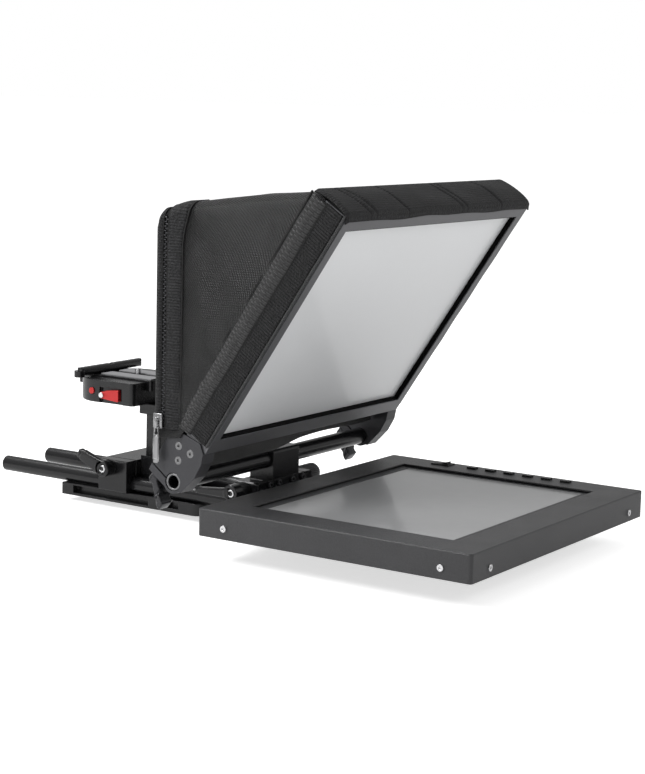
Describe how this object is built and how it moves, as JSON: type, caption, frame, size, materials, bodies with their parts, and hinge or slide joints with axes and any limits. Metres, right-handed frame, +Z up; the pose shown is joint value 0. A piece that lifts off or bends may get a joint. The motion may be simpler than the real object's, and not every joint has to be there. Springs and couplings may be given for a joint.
{
  "type": "camera teleprompter",
  "caption": "Rod-mounted camera teleprompter: flat monitor facing up, tilting beam-splitter mirror with fabric hood, sliding carriage and a riser platform for the camera.",
  "frame": {"origin": "tripod thread in the underside of the base plate", "axes": "+Y from the talent's side to the camera, +X to the right seen from the talent's side, +Z up"},
  "size_m": [0.3277, 0.6063, 0.3232],
  "materials": {
    "black_powder": "satin black powder coat",
    "black_anodised": "satin black anodised",
    "dark_frame": "satin dark grey anodised",
    "bezel_steel": "matt dark grey",
    "screen": "gloss",
    "circuit": "semi-matt",
    "key_plastic": "satin",
    "black_plastic": "satin",
    "steel": "bright",
    "black_steel": "black oxide",
    "splitter_glass": "half-silvered gloss",
    "hood_fabric": "fine weave",
    "hook_tape": "hook pile",
    "zip_tape": "woven tape with moulded teeth",
    "zip_metal": "satin nickel",
    "pad_rubber": "matt",
    "red_anodised": "satin red"
  },
  "bodies": {
    "base": {"base_plate": "black_anodised", "rear_clamp": "black_anodised", "base_screws": "black_steel", "riser_socket": "black_anodised"},
    "rods": {"rod_left": "black_anodised", "rod_right": "black_anodised"},
    "carriage": {"carriage_block": "black_anodised", "tube_clamp": "black_anodised", "carriage_screws": "steel", "crossbar_tube": "black_anodised"},
    "carriage_lever": {"carriage_lever": "black_anodised"},
    "carriage_knob": {"carriage_knob": "black_plastic"},
    "mirror": {"mirror_frame": "dark_frame", "beam_splitter": "splitter_glass", "glass_retainers": "black_plastic", "bracket_left": "black_anodised", "bracket_right": "black_anodised", "bracket_screws": "black_steel", "hook_bands": "hook_tape", "hood_flap": "hook_tape", "hood_side_left": "hood_fabric", "hood_side_right": "hood_fabric", "hood_top": "hood_fabric", "hood_rear": "hood_fabric", "lens_sleeve": "hood_fabric", "zipper": "zip_tape"},
    "tilt_lever_left": {"tilt_lever_left": "black_steel"},
    "tilt_lever_right": {"tilt_lever_right": "black_steel"},
    "zip_slider": {"zip_slider": "zip_metal"},
    "zip_pull": {"zip_pull": "zip_metal"},
    "monitor": {"monitor_housing": "black_powder", "back_cover": "black_powder", "lcd_frame": "bezel_steel", "lcd_screen": "screen", "circuit_boards": "circuit", "switch_frame": "black_plastic", "rear_sockets": "black_plastic", "housing_screws": "steel", "monitor_bracket": "black_anodised"},
    "button_1": {"button_1": "key_plastic"},
    "button_2": {"button_2": "key_plastic"},
    "button_3": {"button_3": "key_plastic"},
    "button_4": {"button_4": "key_plastic"},
    "button_5": {"button_5": "key_plastic"},
    "button_6": {"button_6": "key_plastic"},
    "power_rocker": {"power_rocker": "black_plastic"},
    "monitor_knob_left": {"monitor_knob_left": "black_plastic"},
    "monitor_knob_right": {"monitor_knob_right": "black_plastic"},
    "rear_lever": {"rear_lever": "black_anodised"},
    "riser_knob": {"riser_knob": "black_plastic"},
    "riser": {"riser_post": "black_anodised", "platform_neck": "black_anodised", "platform_body": "black_anodised", "lever_pivot": "steel"},
    "platform_lever": {"platform_lever": "red_anodised"},
    "safety_button": {"safety_button": "red_anodised"},
    "plate": {"slide_plate": "black_anodised", "plate_pads": "pad_rubber", "stop_bar": "black_anodised"},
    "camera_screw": {"camera_screw": "steel"}
  },
  "joints": [
    {"name": "rods_slide", "type": "slide", "parent": "base", "child": "rods", "axis": [0, 1, 0], "range_m": [-0.08, 0.02]},
    {"name": "carriage_slide", "type": "slide", "parent": "rods", "child": "carriage", "axis": [0, 1, 0], "range_m": [-0.01, 0.012]},
    {"name": "mirror_tilt", "type": "hinge", "parent": "carriage", "child": "mirror", "pos_m": [0, -0.144, 0.0605], "axis": [1, 0, 0], "range_deg": [-12, 14]},
    {"name": "monitor_slide", "type": "slide", "parent": "rods", "child": "monitor", "axis": [0, 1, 0], "range_m": [-0.02, 0]},
    {"name": "carriage_lever_turn", "type": "hinge", "parent": "carriage", "child": "carriage_lever", "pos_m": [-0.0442, -0.138, 0.0345], "axis": [-1, 0, 0], "range_deg": [-60, 45]},
    {"name": "carriage_knob_turn", "type": "hinge", "parent": "carriage", "child": "carriage_knob", "pos_m": [0.0442, -0.138, 0.0345], "axis": [1, 0, 0], "continuous": true},
    {"name": "tilt_lever_left_turn", "type": "hinge", "parent": "mirror", "child": "tilt_lever_left", "pos_m": [-0.15, -0.1231, 0.06465], "axis": [0, 0.6069, -0.7948], "range_deg": [-60, 60]},
    {"name": "tilt_lever_right_turn", "type": "hinge", "parent": "mirror", "child": "tilt_lever_right", "pos_m": [0.15, -0.1231, 0.06465], "axis": [0, 0.6069, -0.7948], "range_deg": [-60, 60]},
    {"name": "zip_slide", "type": "slide", "parent": "mirror", "child": "zip_slider", "axis": [0, 0, 1], "range_m": [0, 0.16]},
    {"name": "zip_pull_swing", "type": "hinge", "parent": "zip_slider", "child": "zip_pull", "pos_m": [-0.1645, -0.13, 0.11], "axis": [0, 1, 0], "range_deg": [0, 100]},
    {"name": "monitor_knob_left_turn", "type": "hinge", "parent": "monitor", "child": "monitor_knob_left", "pos_m": [-0.03, -0.1975, 0.0045], "axis": [0, 0, -1], "continuous": true},
    {"name": "monitor_knob_right_turn", "type": "hinge", "parent": "monitor", "child": "monitor_knob_right", "pos_m": [0.03, -0.1975, 0.0045], "axis": [0, 0, -1], "continuous": true},
    {"name": "power_rocker_tip", "type": "hinge", "parent": "monitor", "child": "power_rocker", "pos_m": [0.148, -0.2365, 0.0425], "axis": [1, 0, 0], "range_deg": [0, 14]},
    {"name": "rear_lever_turn", "type": "hinge", "parent": "base", "child": "rear_lever", "pos_m": [-0.0442, 0.02, 0.0355], "axis": [-1, 0, 0], "range_deg": [-60, 60]},
    {"name": "riser_knob_turn", "type": "hinge", "parent": "base", "child": "riser_knob", "pos_m": [0.0222, -0.01, 0.0385], "axis": [1, 0, 0], "continuous": true},
    {"name": "riser_slide", "type": "slide", "parent": "base", "child": "riser", "axis": [0, 0, 1], "range_m": [0, 0.02]},
    {"name": "platform_lever_turn", "type": "hinge", "parent": "riser", "child": "platform_lever", "pos_m": [-0.045, 0.029, 0.1045], "axis": [1, 0, 0], "range_deg": [0, 70]},
    {"name": "safety_button_press", "type": "slide", "parent": "riser", "child": "safety_button", "axis": [1, 0, 0], "range_m": [0, 0.001], "stiffness_N_per_m": 400, "springref_m": -0.001},
    {"name": "plate_slide", "type": "slide", "parent": "riser", "child": "plate", "axis": [0, 1, 0], "range_m": [-0.02, 0.02]},
    {"name": "camera_screw_turn", "type": "hinge", "parent": "plate", "child": "camera_screw", "pos_m": [0, 0.022, 0.1122], "axis": [0, 0, 1], "continuous": true},
    {"name": "button_1_press", "type": "slide", "parent": "monitor", "child": "button_1", "axis": [0, 0, -1], "range_m": [0, 0.001], "stiffness_N_per_m": 400, "springref_m": -0.001},
    {"name": "button_2_press", "type": "slide", "parent": "monitor", "child": "button_2", "axis": [0, 0, -1], "range_m": [0, 0.001], "stiffness_N_per_m": 400, "springref_m": -0.001},
    {"name": "button_3_press", "type": "slide", "parent": "monitor", "child": "button_3", "axis": [0, 0, -1], "range_m": [0, 0.001], "stiffness_N_per_m": 400, "springref_m": -0.001},
    {"name": "button_4_press", "type": "slide", "parent": "monitor", "child": "button_4", "axis": [0, 0, -1], "range_m": [0, 0.001], "stiffness_N_per_m": 400, "springref_m": -0.001},
    {"name": "button_5_press", "type": "slide", "parent": "monitor", "child": "button_5", "axis": [0, 0, -1], "range_m": [0, 0.001], "stiffness_N_per_m": 400, "springref_m": -0.001},
    {"name": "button_6_press", "type": "slide", "parent": "monitor", "child": "button_6", "axis": [0, 0, -1], "range_m": [0, 0.001], "stiffness_N_per_m": 400, "springref_m": -0.001}
  ]
}
